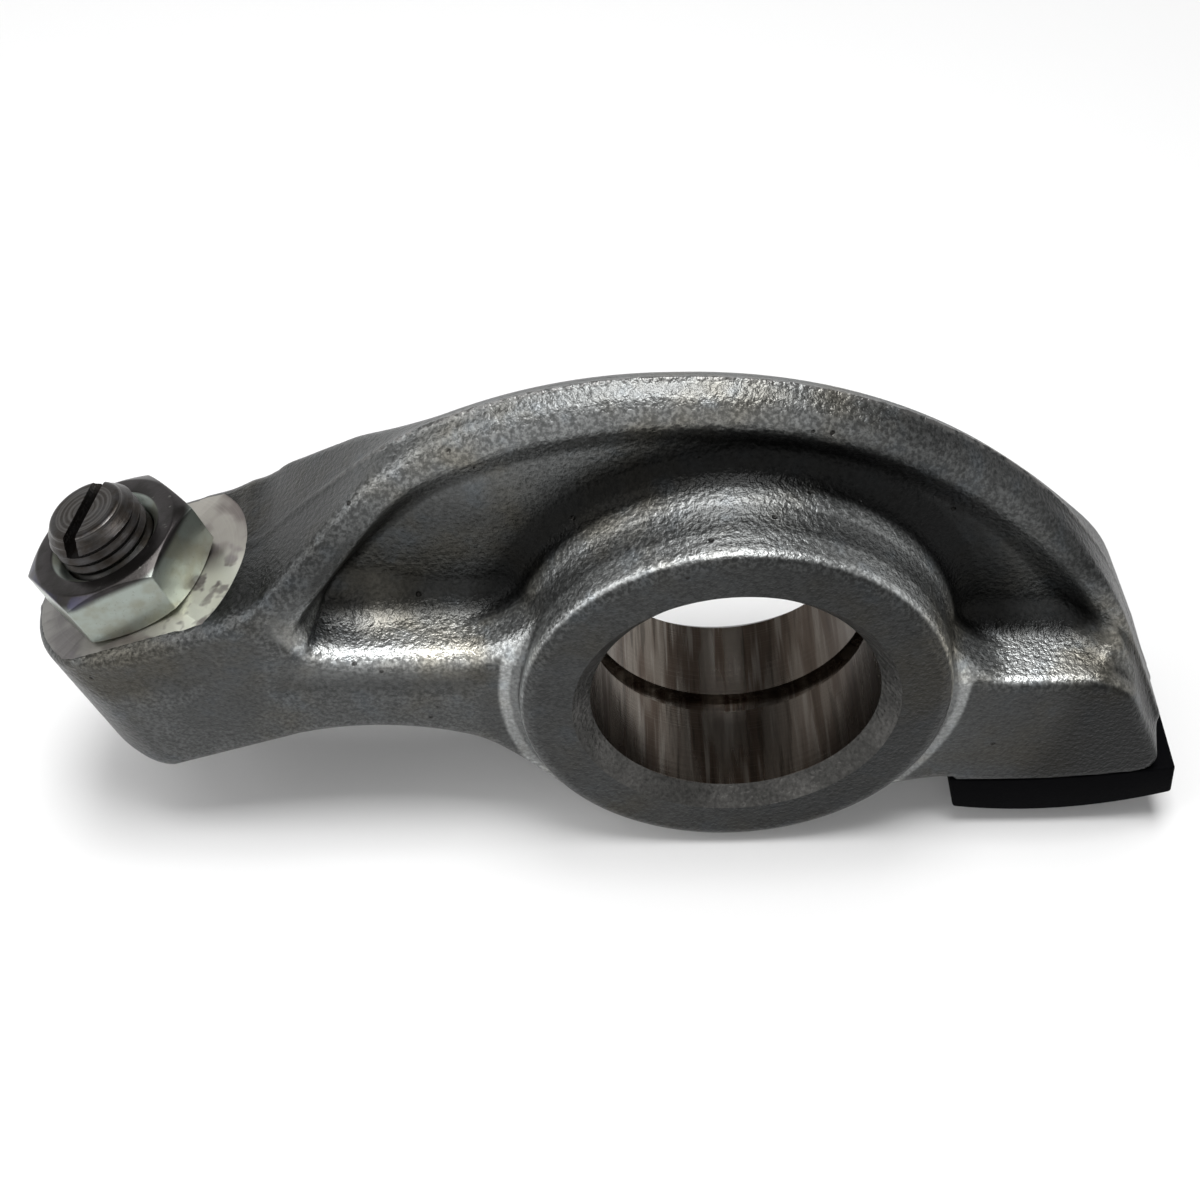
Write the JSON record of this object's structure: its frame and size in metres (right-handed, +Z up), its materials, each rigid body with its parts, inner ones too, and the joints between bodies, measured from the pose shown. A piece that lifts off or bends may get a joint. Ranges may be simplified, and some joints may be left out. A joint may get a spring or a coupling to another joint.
{
  "type": "rocker arm",
  "caption": "Slipper-type rocker arm: arched forged body with a shaft boss, a brazed curved pad at one end, and a slotted adjusting screw with a hex lock nut at the other.",
  "frame": {"origin": "centre of the shaft bore, midway between the boss's two thrust faces", "axes": "+Y along the shaft bore, +X towards the slipper pad, +Z up, away from the cam and the valve"},
  "size_m": [0.098, 0.0212, 0.0451],
  "materials": {
    "forged_steel": "shot-blasted forging, dark grey",
    "black_pad": "black phosphate",
    "screw_steel": "dark hardened steel, turned",
    "zinc_nut": "clear zinc plate, satin"
  },
  "bodies": {
    "arm": {"rocker_body": "forged_steel", "slipper_pad": "black_pad"},
    "screw": {"adjusting_screw": "screw_steel"},
    "nut": {"lock_nut": "zinc_nut"}
  },
  "joints": [
    {"name": "screw_turn", "type": "hinge", "parent": "arm", "child": "screw", "pos_m": [-0.04955, 0, 0.00538], "axis": [-0.3387, 0, 0.9409], "range_deg": [-1152, 810]},
    {"name": "nut_turn", "type": "hinge", "parent": "arm", "child": "nut", "pos_m": [-0.04955, 0, 0.00538], "axis": [-0.3387, 0, 0.9409], "range_deg": [0, 450]}
  ]
}
